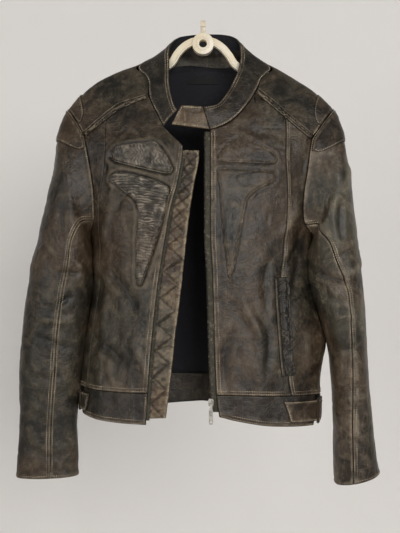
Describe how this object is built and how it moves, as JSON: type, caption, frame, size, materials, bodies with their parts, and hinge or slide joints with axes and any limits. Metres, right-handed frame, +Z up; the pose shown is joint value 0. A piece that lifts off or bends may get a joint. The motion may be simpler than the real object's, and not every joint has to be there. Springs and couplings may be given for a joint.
{
  "type": "worn leather jacket on a hanger",
  "caption": "Distressed brown-black leather rider jacket with moulded chest pads, hanging open on a cream moulded hanger.",
  "frame": {"origin": "inner crown of the hanger's hook, where it hangs", "axes": "+Z up, +X to the viewer's right seen from the front (the wearer's left), -Y out of the jacket's front"},
  "size_m": [0.666, 0.1753, 0.855],
  "materials": {
    "leather": "worn waxed leather, rubbed pale at the seams",
    "pad_leather": "creased grey-brown leather",
    "rubbed_leather": "rubbed tan leather",
    "lining": "smooth dark lining",
    "label": "plain woven patch",
    "zip_tape": "woven tape",
    "zip_metal": "dull silver",
    "hanger": "cream moulded plastic"
  },
  "bodies": {
    "garment": {"right_front": "leather", "right_side_panel": "leather", "right_yoke": "leather", "left_front": "leather", "left_side_panel": "leather", "left_yoke": "leather", "back_panel": "leather", "right_hem_band": "leather", "left_hem_band": "leather", "back_hem_band": "leather", "back_hem_facing": "leather", "neck_facing": "leather", "right_sleeve_upper": "leather", "right_sleeve_under": "leather", "left_sleeve_upper": "leather", "left_sleeve_under": "leather", "collar": "leather", "right_yoke_patch": "leather", "right_sleeve_patch": "leather", "left_yoke_patch": "leather", "left_sleeve_patch": "leather", "left_pocket_strip": "leather", "right_adjuster_keeper": "leather", "left_adjuster_keeper": "leather", "right_upper_chest_pad": "pad_leather", "right_lower_chest_pad": "pad_leather", "left_upper_chest_pad": "pad_leather", "left_lower_chest_pad": "pad_leather", "collar_tab": "rubbed_leather", "right_wind_flap": "rubbed_leather", "right_yoke_strip": "rubbed_leather", "left_yoke_strip": "rubbed_leather", "left_pocket_welt": "rubbed_leather", "right_adjuster_strap": "rubbed_leather", "right_adjuster_end": "rubbed_leather", "left_adjuster_strap": "rubbed_leather", "left_adjuster_end": "rubbed_leather", "back_lining": "lining", "neck_label": "label", "right_zip_tape": "zip_tape", "left_zip_tape": "zip_tape", "zip_slider": "zip_metal", "hanger": "hanger"},
    "zip_pull": {"zip_pull": "zip_metal"}
  },
  "joints": [
    {"name": "zip_pull_hinge", "type": "hinge", "parent": "garment", "child": "zip_pull", "pos_m": [0.0135, -0.10173, -0.692], "axis": [1, 0, 0], "range_deg": [-150, 4]}
  ]
}
